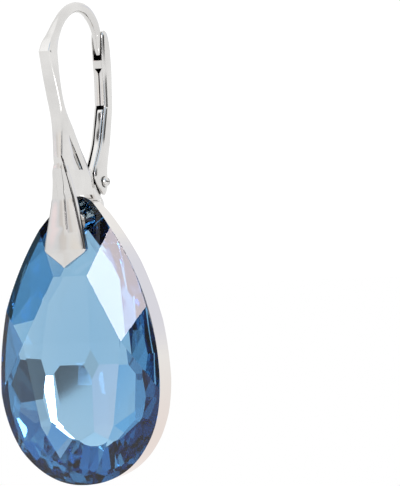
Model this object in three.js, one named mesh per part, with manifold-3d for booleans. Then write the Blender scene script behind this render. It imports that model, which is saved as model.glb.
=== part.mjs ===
// A leverback drop earring: an ear hook with a forked bail, a folded sheet lever on a rivet,
// and a pear-shaped faceted crystal that swings on a pin between the prongs of the fork.
// Millimetres. X to the wearer's side, +Y to the back of the hook, +Z up.
// The origin is the centre of the ear wire at the top of its arch, where the earring hangs.
import * as THREE from 'three';
import { mergeVertices } from 'three/addons/utils/BufferGeometryUtils.js';
import Module from 'manifold-3d';

const wasm = await Module();
wasm.setup();

// Driving sizes.
const crystal = {
  length: 22, width: 13.1, // over the outline, before its tip is rounded
  shoulder: 14.35, // sharp tip to the widest place
  sideRadius: 19.3, tipRadius: 2, bottomPower: 2.15,
  bevelDepth: 2.3, bevelInset: 0.33, // mirror-backed rim behind the girdle
  backRise: 1.55, // faceted back behind the rim
  crownRise: 1.15, // girdle to the top ridge
  holeDrop: 2.8, holeRadius: 0.6, // below the sharp tip
  girdleY: -1.83,
};
const hook = {
  pinDrop: 16.05, // apex of the wire to the pin
  front: 5.55, back: 3.3, // reach of the elbow and of the wire's tip from the apex
  wire: 0.8, // diameter of the ear wire
  width: 1.08, // across the front bar
  tipGap: 0.02, // roof of the fork over the tip of the girdle, which a facet cuts lower
  bodyRise: 3.05, // foot of the body over the pin
  rootDrop: 1.05, rootBack: -1.4, // the thick root of the prong below that foot, and its back face
};
const prong = { length: 6.2, width: 3.4, thickness: 0.6, ridge: 0.185, faceY: -3.51 };
const strip = { width: 0.8, neck: 0.5, thickness: 0.4, tail: 0.95 };
const tongue = { width: 0.5, rise: 5, lean: 2.53, thickness: 0.34 };
const hinge = { abovePin: 3.1, shareOfBack: 0.688, shaft: 0.24, lug: 0.52, head: 0.38, dome: 0.36 };
const lever = { length: 11.2, depth: 1.3, width: 1.16, sheet: 0.2, slot: 0.66 };
const pin = { radius: 0.45 };
const clearance = { stone: 0.3, bore: 0.06, seat: 0.05 };
const ringSides = 16;

// Places that follow from the sizes.
const pinZ = -hook.pinDrop;
const tipZ = pinZ + crystal.holeDrop;
const footZ = pinZ + hook.bodyRise;
const tipRise = Math.sqrt(
  (crystal.sideRadius - crystal.tipRadius) ** 2 - (crystal.width / 2 - crystal.sideRadius) ** 2,
);
const roofZ = tipZ - (crystal.shoulder - tipRise - crystal.tipRadius) + hook.tipGap;
const rimBackY = crystal.girdleY + crystal.bevelDepth;
const backAtPin = 0.85 * crystal.backRise;
const stripY = rimBackY + backAtPin + clearance.stone + strip.thickness / 2;
const hingeY = hinge.shareOfBack * hook.back;
const hingeZ = pinZ + hinge.abovePin;

const silver = new THREE.MeshStandardMaterial({ color: 0xd9d7d3, roughness: 0.15, metalness: 1 });
const sapphire = new THREE.MeshStandardMaterial({ color: 0x5b93c9, roughness: 0.05, metalness: 0 });

// A closed mesh through rings of points, with flat ends.
function loft(rings) {
  const sides = rings[0].length;
  const position = rings.flat().flatMap((p) => [p.x, p.y, p.z]);
  const index = [];
  for (let r = 0; r + 1 < rings.length; r += 1) {
    for (let s = 0; s < sides; s += 1) {
      const a = r * sides + s;
      const b = r * sides + ((s + 1) % sides);
      index.push(a, b, b + sides, a, b + sides, a + sides);
    }
  }
  const last = (rings.length - 1) * sides;
  for (let s = 1; s + 1 < sides; s += 1) {
    index.push(0, s + 1, s, last, last + s, last + s + 1);
  }
  const geometry = new THREE.BufferGeometry();
  geometry.setAttribute('position', new THREE.Float32BufferAttribute(position, 3));
  geometry.setIndex(index);
  return geometry;
}

function signedVolume(geometry) {
  const p = geometry.attributes.position;
  const index = geometry.index.array;
  const [a, b, c] = [new THREE.Vector3(), new THREE.Vector3(), new THREE.Vector3()];
  let sum = 0;
  for (let i = 0; i < index.length; i += 3) {
    a.fromBufferAttribute(p, index[i]);
    b.fromBufferAttribute(p, index[i + 1]);
    c.fromBufferAttribute(p, index[i + 2]);
    sum += a.dot(b.cross(c)) / 6;
  }
  return sum;
}

// A manifold solid from any closed geometry, faces turned out.
function solid(geometry) {
  const bare = geometry.clone();
  bare.deleteAttribute('normal');
  bare.deleteAttribute('uv');
  const merged = mergeVertices(bare, 1e-5);
  const triangles = Uint32Array.from(merged.index.array);
  if (signedVolume(merged) < 0) {
    for (let i = 0; i < triangles.length; i += 3) {
      [triangles[i], triangles[i + 1]] = [triangles[i + 1], triangles[i]];
    }
  }
  const mesh = new wasm.Mesh({
    numProp: 3, vertProperties: new Float32Array(merged.attributes.position.array), triVerts: triangles,
  });
  mesh.merge();
  return new wasm.Manifold(mesh);
}

function geometryOf(body) {
  const mesh = body.getMesh();
  const geometry = new THREE.BufferGeometry();
  geometry.setAttribute('position', new THREE.BufferAttribute(mesh.vertProperties, 3));
  geometry.setIndex(new THREE.BufferAttribute(mesh.triVerts, 1));
  geometry.computeVertexNormals();
  return geometry;
}

// One ring round a line from its front point to its back point, both in the plane X = 0.
// round = 1 gives an ellipse, and round = 0 a rectangle with chamfered corners.
function barRing(front, back, width, round, chamfer = 0.3) {
  const half = back.clone().sub(front).multiplyScalar(0.5);
  const centre = front.clone().add(half);
  const flat = [
    [1, 0], [1, 1 - chamfer], [1 - chamfer / 2, 1 - chamfer / 2], [1 - chamfer, 1], [0, 1],
  ];
  const quarter = flat.map(([across, along], i) => {
    const angle = (i * Math.PI) / 8;
    return [
      THREE.MathUtils.lerp(across, Math.cos(angle), round),
      THREE.MathUtils.lerp(along, Math.sin(angle), round),
    ];
  });
  const ring = [];
  for (let s = 0; s < ringSides; s += 1) {
    const inQuarter = s % 8 <= 4 ? s % 8 : 8 - (s % 8);
    const [across, along] = quarter[inQuarter];
    const signX = s > 4 && s < 12 ? -1 : 1;
    const signY = s > 8 ? -1 : 1;
    const point = centre.clone().addScaledVector(half, signY * along);
    point.x += (signX * across * width) / 2;
    ring.push(point);
  }
  return ring;
}

const inPlane = (y, z) => new THREE.Vector3(0, y, z);

// Rings square to a centre line in the plane X = 0, each with its depth, width and roundness.
function lineRings(rows) {
  return rows.map((row, i) => {
    const before = rows[Math.max(i - 1, 0)];
    const after = rows[Math.min(i + 1, rows.length - 1)];
    const along = inPlane(after.y - before.y, after.z - before.z).normalize();
    const side = inPlane(-along.z, along.y).multiplyScalar(row.depth / 2);
    const centre = inPlane(row.y, row.z);
    return barRing(centre.clone().sub(side), centre.clone().add(side), row.width, row.round);
  });
}

// The rows between the given ones, on a smooth curve through them.
function smoothRows(rows, steps) {
  const names = Object.keys(rows[0]);
  const at = (share) => {
    const place = share * (rows.length - 1);
    const i = Math.min(Math.floor(place), rows.length - 2);
    const t = place - i;
    const row = {};
    names.forEach((name) => {
      const [p0, p1, p2, p3] = [i - 1, i, i + 1, i + 2].map(
        (k) => rows[THREE.MathUtils.clamp(k, 0, rows.length - 1)][name],
      );
      const slopeIn = (p2 - p0) / 2;
      const slopeOut = (p3 - p1) / 2;
      row[name] = (2 * p1 - 2 * p2 + slopeIn + slopeOut) * t ** 3
        + (3 * p2 - 3 * p1 - 2 * slopeIn - slopeOut) * t ** 2 + slopeIn * t + p1;
    });
    return row;
  };
  return Array.from({ length: steps + 1 }, (_, i) => at(i / steps));
}

// The ear wire from its tip, over the arch, to the head of the front bar.
// y: share of the reach behind or in front, z: share of the foot's drop, size: share of the wire.
function wireRings() {
  const table = [
    { y: 1.0, z: 0.265, size: 0.58 }, { y: 0.955, z: 0.222, size: 0.7 },
    { y: 0.94, z: 0.18, size: 0.78 }, { y: 0.9, z: 0.138, size: 0.85 },
    { y: 0.765, z: 0.082, size: 0.95 }, { y: 0.54, z: 0.034, size: 1 },
    { y: 0.3, z: 0.009, size: 1 }, { y: 0, z: 0, size: 1 },
    { y: -0.165, z: 0.008, size: 1 }, { y: -0.325, z: 0.031, size: 1 },
    { y: -0.462, z: 0.064, size: 0.98 },
  ];
  return lineRings(smoothRows(table, 30).map(({ y, z, size }) => ({
    y: y * (y > 0 ? hook.back : hook.front), z: z * footZ,
    depth: size * hook.wire, width: size * hook.wire, round: 1,
  })));
}

// The faceted front bar from the arch through the elbow down to the roof of the fork.
// front and back: shares of the front reach, frontZ and backZ: shares of the foot's drop.
function barRings() {
  const table = [
    { front: -0.635, frontZ: 0.085, back: -0.55, backZ: 0.13, width: 0.76, round: 0.8 },
    { front: -0.78, frontZ: 0.148, back: -0.675, backZ: 0.19, width: 0.84, round: 0.4 },
    { front: -0.915, frontZ: 0.2, back: -0.735, backZ: 0.235, width: 0.95, round: 0.1 },
    { front: -1.0, frontZ: 0.255, back: -0.753, backZ: 0.266, width: 1, round: 0 },
    { front: -0.905, frontZ: 0.385, back: -0.733, backZ: 0.385, width: 1, round: 0 },
    { front: -0.809, frontZ: 0.508, back: -0.668, backZ: 0.508, width: 0.98, round: 0 },
    { front: -0.737, frontZ: 0.6, back: -0.566, backZ: 0.6, width: 0.98, round: 0 },
    { front: -0.716, frontZ: 0.7, back: -0.36, backZ: 0.7, width: 1, round: 0 },
    { front: -0.716, frontZ: 0.815, back: -0.162, backZ: 0.815, width: 1.02, round: 0 },
    { front: -0.715, frontZ: 0.865, back: -0.06, backZ: 0.865, width: 1.02, round: 0 },
    { front: -0.69, frontZ: 0.935, back: 0.07, backZ: 0.935, width: 0.98, round: 0 },
    { front: -0.672, frontZ: 1, back: 0.175, backZ: 0.985, width: 0.92, round: 0 },
  ];
  const rings = table.map((row) => barRing(
    inPlane(row.front * hook.front, row.frontZ * footZ),
    inPlane(row.back * hook.front, row.backZ * footZ), row.width * hook.width, row.round,
  ));
  const sill = barRing(
    inPlane(-0.665 * hook.front, roofZ), inPlane(0.225 * hook.front, roofZ), 0.85 * hook.width, 0,
  );
  return [...rings, sill];
}

// The spade-shaped front prong, a ridged plate that hangs in front of the crystal's tip.
// z: share of its length below the foot, width: of its widest, forward: of the ridge's shift.
function prongRings() {
  const shift = 0.46;
  const table = [
    { z: -0.34, width: 0.16, forward: 0.8, ridge: 0.05, back: 1 },
    { z: -0.16, width: 0.345, forward: 0.88, ridge: 0.2, back: 1 },
    { z: -0.04, width: 0.41, forward: 0.5, ridge: 0.3, back: 1.1 },
    { z: 0.08, width: 0.48, forward: 0.2, ridge: 0.45, back: 1.1 },
    { z: 0.195, width: 0.565, forward: 0, ridge: 0.6, back: 1.05 },
    { z: 0.435, width: 0.745, forward: 0, ridge: 0.8, back: 1 },
    { z: 0.67, width: 0.93, forward: 0, ridge: 1, back: 1 },
    { z: 0.76, width: 0.99, forward: 0, ridge: 1, back: 1 },
    { z: 0.79, width: 1, forward: 0, ridge: 1, back: 0.98 },
    { z: 0.82, width: 0.93, forward: 0.028, ridge: 0.93, back: 0.92 },
    { z: 0.975, width: 0.16, forward: 0.34, ridge: 0.16, back: 0.9 },
    { z: 1, width: 0.03, forward: 0.39, ridge: 0.03, back: 0.8 },
  ];
  const edge = 0.2;
  return table.map(({ z, width, forward, ridge, back }) => {
    const half = (width * prong.width) / 2;
    const face = prong.faceY - forward * shift;
    const rear = face + back * prong.thickness;
    const soft = edge * prong.thickness;
    const inner = Math.max(half - soft, half * 0.6);
    const outline = [
      [half, face + soft], [inner, face], [inner * 0.5, face - ridge * prong.ridge * 0.45],
      [0, face - ridge * prong.ridge], [-inner * 0.5, face - ridge * prong.ridge * 0.45],
      [-inner, face], [-half, face + soft], [-half, rear - soft], [-inner, rear], [inner, rear],
      [half, rear - soft],
    ];
    return outline.map(([x, y]) => new THREE.Vector3(x, y, footZ - z * prong.length));
  });
}

// The thick root of the prong, which fills the space in front of the crystal's tip.
function rootRings() {
  const rows = [
    { z: footZ + hook.rootDrop * 0.5, back: hook.rootBack }, { z: roofZ, back: hook.rootBack },
    { z: footZ - hook.rootDrop * 0.92, back: hook.rootBack },
    { z: footZ - hook.rootDrop, back: hook.rootBack - 0.25 },
  ];
  return rows.map(({ z, back }) => barRing(
    inPlane(prong.faceY + 0.15, z), inPlane(back, z), hook.width * 0.92, 0,
  ));
}

// The foot of the body behind the crystal's tip, which leads down to the strip.
function rearLegRings() {
  const table = [
    { front: 0.1, drop: -0.22, back: 0.35 }, { front: 0.2, drop: 0, back: 0.43 },
    { front: 0.295, drop: 0.18, back: 0.53 }, { front: 0.4, drop: 0.32, back: 0.66 },
  ];
  return table.map(({ front, drop, back }) => {
    const z = roofZ - drop * (roofZ - pinZ);
    return barRing(inPlane(front * hook.back, z), inPlane(back * hook.back, z), 0.85 * hook.width, 0);
  });
}

// The bent strip from the body, past the hinge and down behind the crystal to the pin.
function stripRows() {
  const line = [
    { y: -1.95, z: 0.9, width: 1 }, { y: -1.57, z: 0.42, width: 0.9 },
    { y: -1.16, z: -0.15, width: 0 }, { y: -0.71, z: -0.6, width: 0 },
    { y: -0.24, z: -1.05, width: 0 },
  ];
  const beside = line.map(({ y, z, width }) => ({
    y: hingeY + y, z: hingeZ + z, width: THREE.MathUtils.lerp(strip.neck, strip.width, width),
  }));
  const behind = [
    { y: stripY - 0.06, z: hingeZ - 1.42, width: strip.width * 0.9 },
    { y: stripY, z: hingeZ - 1.75, width: strip.width },
    { y: stripY, z: pinZ, width: strip.width * 1.35 },
    { y: stripY, z: pinZ - strip.tail * 0.7, width: strip.width * 1.2 },
    { y: stripY, z: pinZ - strip.tail, width: strip.width * 0.6 },
  ];
  return [...beside, ...behind].map((row) => ({ ...row, depth: strip.thickness, round: 0.15 }));
}

// The spring tongue that rises from the bend of the strip into the lever's slot.
function tongueRows() {
  const bendY = hingeY - 1.57;
  const bendZ = hingeZ + 0.36;
  const table = [
    { lean: 0, rise: 0 }, { lean: 0.17, rise: 0.06 }, { lean: 0.33, rise: 0.15 },
    { lean: 0.485, rise: 0.276 }, { lean: 0.7, rise: 0.48 }, { lean: 0.815, rise: 0.67 },
    { lean: 0.93, rise: 0.85 }, { lean: 0.985, rise: 0.96 }, { lean: 1, rise: 1 },
  ];
  return table.map(({ lean, rise }) => ({
    y: bendY + lean * tongue.lean, z: bendZ + rise * tongue.rise,
    depth: rise === 1 ? tongue.thickness * 0.6 : tongue.thickness, width: tongue.width, round: 0.15,
  }));
}

// A plate in the plane of the hook, from its outline in y and z.
function plate(outline, width) {
  const shape = new THREE.Shape(outline.map(([y, z]) => new THREE.Vector2(y, z)));
  const geometry = new THREE.ExtrudeGeometry(shape, { depth: width, bevelEnabled: false });
  geometry.translate(0, 0, -width / 2);
  // The outline's first axis becomes Y, its second Z, and the depth X.
  geometry.applyMatrix4(new THREE.Matrix4().set(0, 0, 1, 0, 1, 0, 0, 0, 0, 1, 0, 0, 0, 0, 0, 1));
  return geometry;
}

function rodAlongX(radius, length, sides = 24) {
  return new THREE.CylinderGeometry(radius, radius, length, sides).rotateZ(Math.PI / 2);
}

function rodAlongY(radius, fromY, toY, sides = 24) {
  return new THREE.CylinderGeometry(radius, radius, toY - fromY, sides).translate(0, (fromY + toY) / 2, 0);
}

// The round lug that carries the rivet, standing on the strip.
function lugOutline() {
  const points = [[hingeY - 1.05, hingeZ - 0.27], [hingeY - 0.2, hingeZ - 1.08]];
  const steps = 14;
  const from = -0.9;
  const to = Math.PI * 0.92;
  for (let i = 0; i <= steps; i += 1) {
    const angle = from + ((to - from) * i) / steps;
    points.push([hingeY + hinge.lug * Math.cos(angle), hingeZ + hinge.lug * Math.sin(angle)]);
  }
  return points;
}

// The shallow triangular pocket in each side of the body.
function pocketPair() {
  const depth = 0.17;
  const corner = (y, z) => [y * hook.front, z * footZ];
  const outline = [corner(-0.555, 0.735), corner(-0.375, 0.925), corner(-0.2, 0.925)];
  const reach = hook.width * 0.51;
  return [1, -1].map((sign) => {
    const pocket = plate(outline, depth * 2);
    pocket.translate(sign * reach, 0, 0);
    return solid(pocket);
  });
}

function makeEarHook() {
  const frame = solid(loft([...wireRings(), ...barRings()]));
  const [left, right] = pocketPair();
  const lugHole = rodAlongX(hinge.shaft + clearance.bore, strip.neck * 2);
  lugHole.translate(0, hingeY, hingeZ);
  return frame.subtract(left).subtract(right)
    .add(solid(loft(prongRings())))
    .add(solid(loft(rootRings())))
    .add(solid(loft(rearLegRings())))
    .add(solid(loft(lineRings(stripRows()))))
    .add(solid(loft(lineRings(tongueRows()))))
    .add(solid(plate(lugOutline(), strip.neck)))
    .subtract(solid(lugHole));
}

// The outside of the lever, a folded sheet. up: share of its length over the hinge,
// front and back: shares of its depth from the wire's tip.
function leverRings() {
  const table = [
    { front: 0.05, frontUp: 1.005, back: 0.2, backUp: 1.012, width: 0.6, round: 0.6 },
    { front: -0.15, frontUp: 0.985, back: 0.42, backUp: 0.99, width: 0.92, round: 0.4 },
    { front: -0.21, frontUp: 0.93, back: 0.65, backUp: 0.922, width: 1, round: 0.3 },
    { front: -0.18, frontUp: 0.8, back: 0.83, backUp: 0.8, width: 1, round: 0.3 },
    { front: -0.09, frontUp: 0.7, back: 0.83, backUp: 0.7, width: 1, round: 0.3 },
    { front: -0.08, frontUp: 0.516, back: 0.75, backUp: 0.51, width: 1, round: 0.3 },
    { front: -0.14, frontUp: 0.485, back: 0.71, backUp: 0.475, width: 1, round: 0.25 },
    { front: -0.5, frontUp: 0.3375, back: 0.46, backUp: 0.345, width: 1, round: 0.2 },
    { front: -0.746, frontUp: 0.2527, back: 0.28, backUp: 0.262, width: 1, round: 0.15 },
    { front: -1.19, frontUp: 0.1607, back: 0.055, backUp: 0.17, width: 1, round: 0.15 },
    { front: -1.53, frontUp: 0.1027, back: -0.075, backUp: 0.107, width: 1, round: 0.15 },
    { front: -1.7, frontUp: 0.0375, back: -0.115, backUp: 0.05, width: 1, round: 0.15 },
    { front: -1.485, frontUp: -0.0098, back: -0.13, backUp: -0.01, width: 1, round: 0.15 },
    { front: -1.2, frontUp: -0.045, back: -0.42, backUp: -0.07, width: 0.98, round: 0.2 },
    { front: -0.98, frontUp: -0.075, back: -0.66, backUp: -0.09, width: 0.9, round: 0.3 },
  ];
  return table.map((row) => barRing(
    inPlane(hook.back + row.front * lever.depth, hingeZ + row.frontUp * lever.length),
    inPlane(hook.back + row.back * lever.depth, hingeZ + row.backUp * lever.length),
    row.width * lever.width, row.round,
  ));
}

// The hollows of the lever, each a plate in the plane of the hook.
function leverHollows() {
  const y = (share) => hook.back + share * lever.depth;
  const z = (share) => hingeZ + share * lever.length;
  const trough = [
    [y(-0.6), z(0.808)], [y(0.83) - lever.sheet, z(0.808)], [y(0.68) - lever.sheet, z(0.92)],
    [y(0.42) - lever.sheet, z(1.03)], [y(-0.6), z(1.03)],
  ];
  const funnel = [
    [y(-0.6), z(0.72)], [y(0.81) - lever.sheet, z(0.72)], [y(0.81) - lever.sheet, z(0.755)],
    [y(-0.6), z(0.755)],
  ];
  const slot = [
    [y(-2.4), z(-0.14)], [y(0.2), z(-0.14)], [y(-0.13) - lever.sheet, z(-0.02)],
    [y(-0.115) - lever.sheet, z(0.055)], [y(-0.075) - lever.sheet, z(0.107)],
    [y(0.155) - lever.sheet, z(0.205)], [y(0.515) - lever.sheet, z(0.37)],
    [y(0.66) - lever.sheet, z(0.46)], [y(0.66) - lever.sheet, z(0.508)], [y(-1.4), z(0.508)],
  ];
  const inner = lever.width - 2 * lever.sheet;
  return [
    solid(plate(trough, inner)), solid(plate(funnel, inner * 0.62)), solid(plate(slot, lever.slot)),
  ];
}

function makeLever() {
  let body = solid(loft(leverRings()));
  leverHollows().forEach((hollow) => {
    body = body.subtract(hollow);
  });
  const seam = plate([
    [hook.back - 0.3 * lever.depth, hingeZ + 0.5 * lever.length],
    [hook.back - 0.05 * lever.depth, hingeZ + 0.5 * lever.length],
    [hook.back - 0.05 * lever.depth, hingeZ + 0.73 * lever.length],
    [hook.back - 0.3 * lever.depth, hingeZ + 0.73 * lever.length],
  ], 0.07);
  const hole = rodAlongX(hinge.shaft + clearance.bore, lever.width * 2);
  hole.translate(0, hingeY, hingeZ);
  return body.subtract(solid(seam)).subtract(solid(hole));
}

// The rivet: a shaft across the ears of the lever with a domed head on each side.
function makeRivet() {
  const seatX = lever.width / 2 + clearance.seat;
  const profile = [
    [0, -seatX - hinge.dome], [hinge.head * 0.5, -seatX - hinge.dome * 0.92],
    [hinge.head * 0.87, -seatX - hinge.dome * 0.62], [hinge.head, -seatX],
    [hinge.shaft, -seatX], [hinge.shaft, seatX], [hinge.head, seatX],
    [hinge.head * 0.87, seatX + hinge.dome * 0.62], [hinge.head * 0.5, seatX + hinge.dome * 0.92],
    [0, seatX + hinge.dome],
  ].map(([r, x]) => new THREE.Vector2(r, x));
  const rivet = new THREE.LatheGeometry(profile, 20).rotateZ(Math.PI / 2);
  rivet.translate(0, hingeY, hingeZ);
  return solid(rivet);
}

// The plain pin between the prong and the strip, through the crystal.
function makePin() {
  const fromY = prong.faceY + prong.thickness + clearance.seat;
  const toY = stripY - strip.thickness / 2 - clearance.seat;
  return solid(rodAlongY(pin.radius, fromY, toY, 16).translate(0, 0, pinZ));
}

// The pear outline, inset by a length: [x, drop below the tip] in order round the stone.
function pearOutline(inset = 0) {
  const half = crystal.width / 2 - inset;
  const side = crystal.sideRadius - inset;
  const centreX = crystal.width / 2 - crystal.sideRadius;
  const tip = crystal.tipRadius - inset;
  const rise = Math.sqrt((side - tip) ** 2 - centreX ** 2);
  const tangent = Math.atan2(rise, -centreX);
  const right = [];
  const sideSteps = 16;
  const tipSteps = 5;
  const bottomSteps = 16;
  for (let i = 0; i < tipSteps; i += 1) {
    const angle = Math.PI / 2 - ((Math.PI / 2 - tangent) * i) / tipSteps;
    right.push([tip * Math.cos(angle), crystal.shoulder - rise - tip * Math.sin(angle)]);
  }
  for (let i = 0; i < sideSteps; i += 1) {
    const angle = tangent * (1 - i / sideSteps);
    right.push([centreX + side * Math.cos(angle), crystal.shoulder - side * Math.sin(angle)]);
  }
  const power = 2 / crystal.bottomPower;
  const fall = crystal.length - crystal.shoulder - inset;
  for (let i = 0; i <= bottomSteps; i += 1) {
    const angle = ((Math.PI / 2) * i) / bottomSteps;
    right.push([
      half * Math.max(Math.cos(angle), 0) ** power, crystal.shoulder + fall * Math.sin(angle) ** power,
    ]);
  }
  right[right.length - 1][0] = 0;
  const left = right.slice(1, -1).reverse().map(([x, drop]) => [-x, drop]);
  return [...right, ...left];
}

const stoneRing = (inset, y) => pearOutline(inset).map(([x, drop]) => new THREE.Vector3(x, y, tipZ - drop));

// A big box with one face on a plane: the half space that a facet takes away.
function planeCut(point, outward) {
  const size = crystal.length * 3;
  const box = new THREE.BoxGeometry(size, size, size).translate(0, 0, size / 2);
  box.applyQuaternion(new THREE.Quaternion().setFromUnitVectors(new THREE.Vector3(0, 0, 1), outward));
  box.translate(point.x, point.y, point.z);
  return solid(box);
}

// The crown's facets: a point in shares of half the width, the length and the crown's rise,
// and the slopes of the rise sideways and down from the tip.
const crownFacets = [
  { name: 'tip', x: 0, drop: 0.3, rise: 0.87, slopeX: 0, slopeDrop: 0.292 },
  { name: 'upper table', x: 0, drop: 0.5227, rise: 1, slopeX: 0, slopeDrop: 0.0306 },
  { name: 'lower table', x: 0, drop: 0.5227, rise: 1, slopeX: 0, slopeDrop: -0.0607 },
  { name: 'bottom', x: 0, drop: 0.8, rise: 0.678, slopeX: 0, slopeDrop: -0.155 },
  { name: 'upper kite', x: 0.617, drop: 0.5227, rise: 1, slopeX: -0.263, slopeDrop: 0.174 },
  { name: 'side', x: 0.617, drop: 0.5227, rise: 1, slopeX: -0.463, slopeDrop: 0.033 },
  { name: 'lower kite', x: 0.617, drop: 0.5227, rise: 1, slopeX: -0.263, slopeDrop: -0.106 },
  { name: 'low kite', x: 0.458, drop: 0.8, rise: 0.678, slopeX: -0.284, slopeDrop: -0.138 },
  { name: 'foot', x: 0.458, drop: 0.8, rise: 0.678, slopeX: -0.186, slopeDrop: -0.255 },
];

function crownCuts() {
  return crownFacets.flatMap(({ x, drop, rise, slopeX, slopeDrop }) => {
    const sides = slopeX === 0 ? [1] : [1, -1];
    return sides.map((side) => planeCut(
      new THREE.Vector3(
        side * x * (crystal.width / 2), crystal.girdleY - rise * crystal.crownRise,
        tipZ - drop * crystal.length,
      ),
      new THREE.Vector3(side * -slopeX, -1, slopeDrop).normalize(),
    ));
  });
}

// The facets of the back, in tiers from the rim inwards. Each facet faces one way round the
// outline (turns, in degrees up from sideways) and rises inwards by the slope, from a line that
// lies outside the rim by a share of the stone's width.
const backTiers = [
  { slope: 0.6, outside: 0, turns: [48, 34, 20, 6, -8, -22, -36, -50, -64, -78] },
  { slope: 0.52, outside: 0.006, turns: [-33, -47, -61, -75, -88] },
  { slope: 0.45, outside: 0.014, turns: [41, 27, 13, -1, -15, -29, -36, -43, -50, -57, -64, -71, -78, -85] },
  { slope: 0.38, outside: 0.029, turns: [-46, -53, -60, -67, -74, -82, -90] },
  { slope: 0.2, outside: 0.24, turns: [45, 15, -15, -40, -90] },
  { slope: 0.09, outside: 0.8, turns: [30, -30] },
];
const backFacets = backTiers.flatMap(({ slope, outside, turns }) => turns.map(
  (turn) => ({ turn, slope, inset: -outside }),
));

function backCuts() {
  const outline = pearOutline(crystal.bevelInset);
  return backFacets.flatMap(({ turn, slope, inset }) => {
    const angle = THREE.MathUtils.degToRad(turn);
    const sides = Math.abs(turn) === 90 ? [1] : [1, -1];
    return sides.map((side) => {
      const [nx, nz] = [side * Math.cos(angle), Math.sin(angle)];
      const reach = Math.max(...outline.map(([x, drop]) => nx * x - nz * drop)) - inset * crystal.width;
      return planeCut(
        new THREE.Vector3(nx * reach, rimBackY, tipZ + nz * reach),
        new THREE.Vector3(slope * nx, 1, slope * nz).normalize(),
      );
    });
  });
}

// The pear-shaped stone: a crown of facets, a rim that leans in, and a low faceted back.
function makeCrystal() {
  const crownY = crystal.girdleY - crystal.crownRise * 1.1;
  const backY = rimBackY + crystal.backRise;
  let body = solid(loft([
    stoneRing(0, crownY), stoneRing(0, crystal.girdleY), stoneRing(crystal.bevelInset, rimBackY),
    stoneRing(crystal.bevelInset, backY),
  ]));
  [...crownCuts(), ...backCuts()].forEach((cut) => {
    body = body.subtract(cut);
  });
  const hole = rodAlongY(crystal.holeRadius, crownY - 1, backY + 1, 20).translate(0, 0, pinZ);
  return body.subtract(solid(hole));
}

const pieces = [
  ['ear_hook', makeEarHook, silver],
  ['lever', makeLever, silver],
  ['hinge_rivet', makeRivet, silver],
  ['bail_pin', makePin, silver],
  ['crystal', makeCrystal, sapphire],
];

const earring = new THREE.Group();
pieces.forEach(([name, make, material]) => {
  const mesh = new THREE.Mesh(geometryOf(make()), material);
  mesh.name = name;
  earring.add(mesh);
});

export default earring;
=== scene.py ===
"""A leverback drop earring with a pear-shaped faceted crystal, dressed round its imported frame."""

import logging
import math
from dataclasses import dataclass, field
from enum import Enum
from typing import Sequence

import bmesh
import bpy
from mathutils import Matrix, Vector


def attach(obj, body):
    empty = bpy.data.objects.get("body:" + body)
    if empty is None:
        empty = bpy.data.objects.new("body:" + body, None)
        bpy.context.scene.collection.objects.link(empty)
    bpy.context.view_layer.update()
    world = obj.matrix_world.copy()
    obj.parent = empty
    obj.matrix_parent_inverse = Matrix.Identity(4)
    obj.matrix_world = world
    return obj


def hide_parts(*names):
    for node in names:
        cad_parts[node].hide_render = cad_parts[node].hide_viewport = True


log = logging.getLogger("earring")
MM = 0.001
HINGE_BORE = 0.3
BEVEL_ANGLE = math.radians(32)
SHARP_ANGLE = math.radians(40)
Ring = list[Vector]
Colour = tuple[float, float, float, float]


class Slot(Enum):
    """The record's material slots."""

    SILVER = "silver"
    CRYSTAL = "crystal"


class Body(Enum):
    """The frame's moving bodies."""

    HOOK = "hook"
    LEVER = "lever_clasp"
    DROP = "drop"


class Change(Enum):
    """How one mesh changes another."""

    JOIN = "UNION"
    CUT = "DIFFERENCE"


class Wire:
    """One output socket, with Python's operators for the shader maths on it."""

    def __init__(self, maker: "Shader", socket: bpy.types.NodeSocket | None) -> None:
        """Keeps the socket and the maker of its nodes.

        Args:
            maker: the shader that the socket's node belongs to.
            socket: the output socket, or None for a node that has no output.
        """
        self.maker = maker
        self.socket = socket

    def _math(self, operation: str, *values: "Wire | float") -> "Wire":
        """Adds a Math node on the given values."""
        return self.maker.add("ShaderNodeMath", {"operation": operation}, dict(enumerate(values)))

    def __add__(self, other: "Wire | float") -> "Wire":
        """Sum."""
        return self._math("ADD", self, other)

    def __sub__(self, other: "Wire | float") -> "Wire":
        """Difference."""
        return self._math("SUBTRACT", self, other)

    def __mul__(self, other: "Wire | float") -> "Wire":
        """Product."""
        return self._math("MULTIPLY", self, other)

    def __rsub__(self, other: float) -> "Wire":
        """Difference with a number in front."""
        return self._math("SUBTRACT", other, self)

    __radd__ = __add__
    __rmul__ = __mul__


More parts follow.
